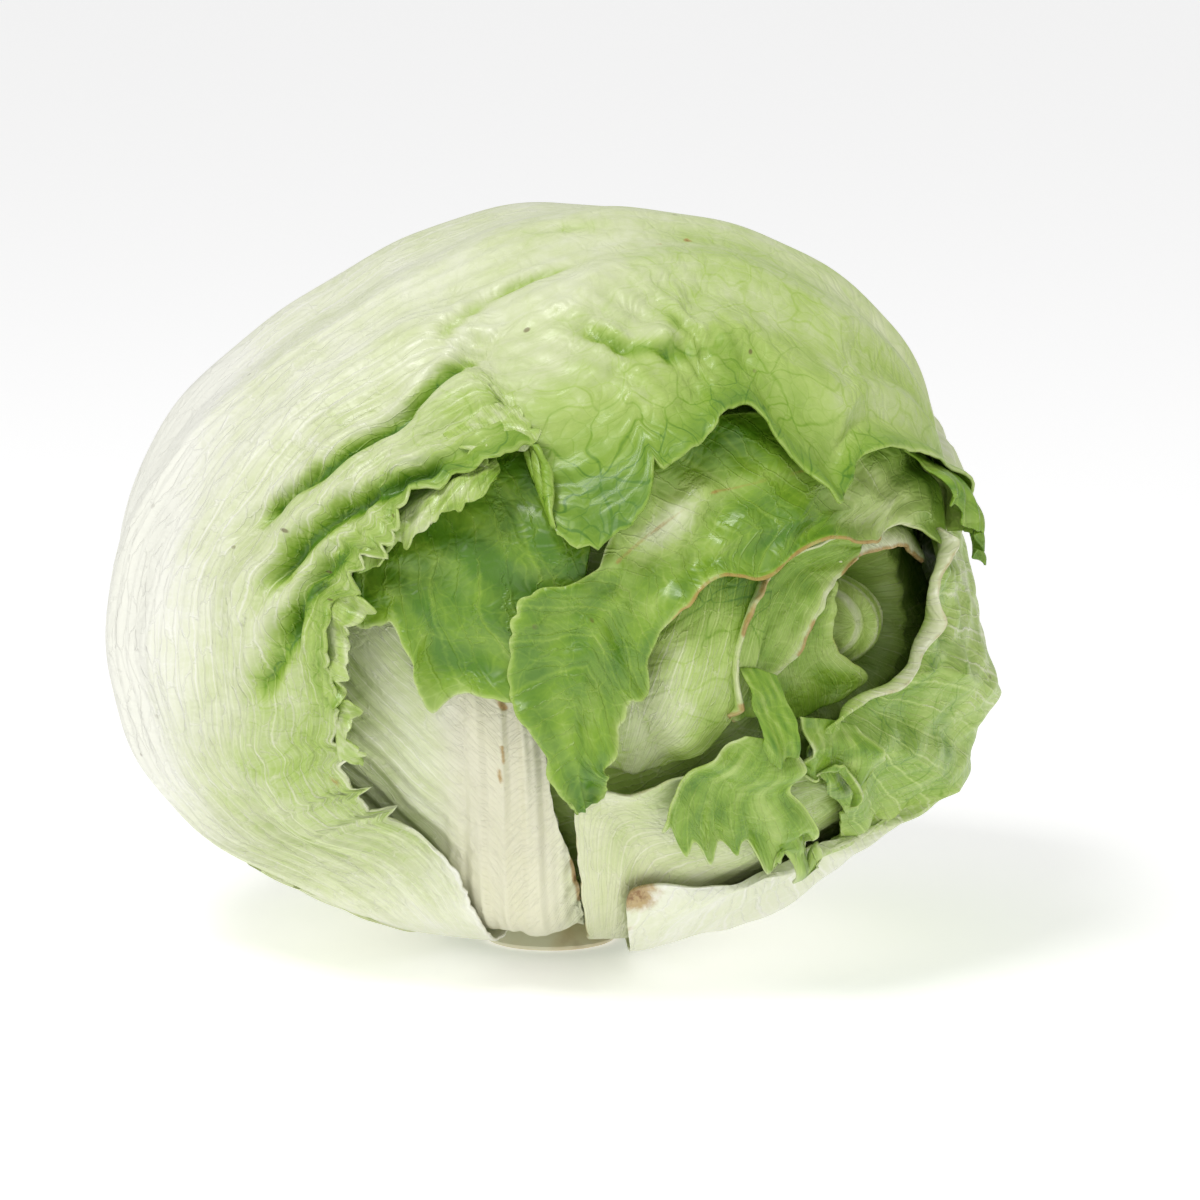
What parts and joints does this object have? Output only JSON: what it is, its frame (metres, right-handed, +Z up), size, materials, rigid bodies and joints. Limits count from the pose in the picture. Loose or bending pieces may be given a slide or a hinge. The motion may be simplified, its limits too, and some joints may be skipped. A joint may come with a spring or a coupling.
{
  "type": "iceberg lettuce head",
  "caption": "Whole head of crisp iceberg lettuce standing on its cut stem, pale ribbed outer leaves wrapped round a tight green heart with an open crown.",
  "frame": {"origin": "middle of the head's box, on the surface that it stands on", "axes": "+Z up from the cut stem, -Y towards the viewer of the picture, +X to the right, the side that the crown opens to"},
  "size_m": [0.176, 0.1606, 0.1488],
  "materials": {
    "stem": "cut vegetable flesh, cream with browned rim",
    "heart": "tight leaf surface, satin",
    "inner_leaf": "fresh green leaf, satin, with browned edges",
    "stalk_leaf": "white crisp rib and pale blade, satin",
    "outer_leaf": "pale veined leaf, waxy and a little glossy"
  },
  "bodies": {
    "root": {"stem": "stem", "heart": "heart", "leaf_crown_top": "inner_leaf", "leaf_crown_left": "inner_leaf", "leaf_crown_fold": "inner_leaf", "leaf_pale": "inner_leaf", "leaf_middle": "inner_leaf", "leaf_long": "inner_leaf", "leaf_hanging": "inner_leaf", "leaf_hanging_small": "inner_leaf", "leaf_stalk": "stalk_leaf", "leaf_lower_right": "outer_leaf", "leaf_right": "outer_leaf", "leaf_back": "outer_leaf", "leaf_wrapper": "outer_leaf", "leaf_base_left": "outer_leaf"}
  },
  "joints": []
}
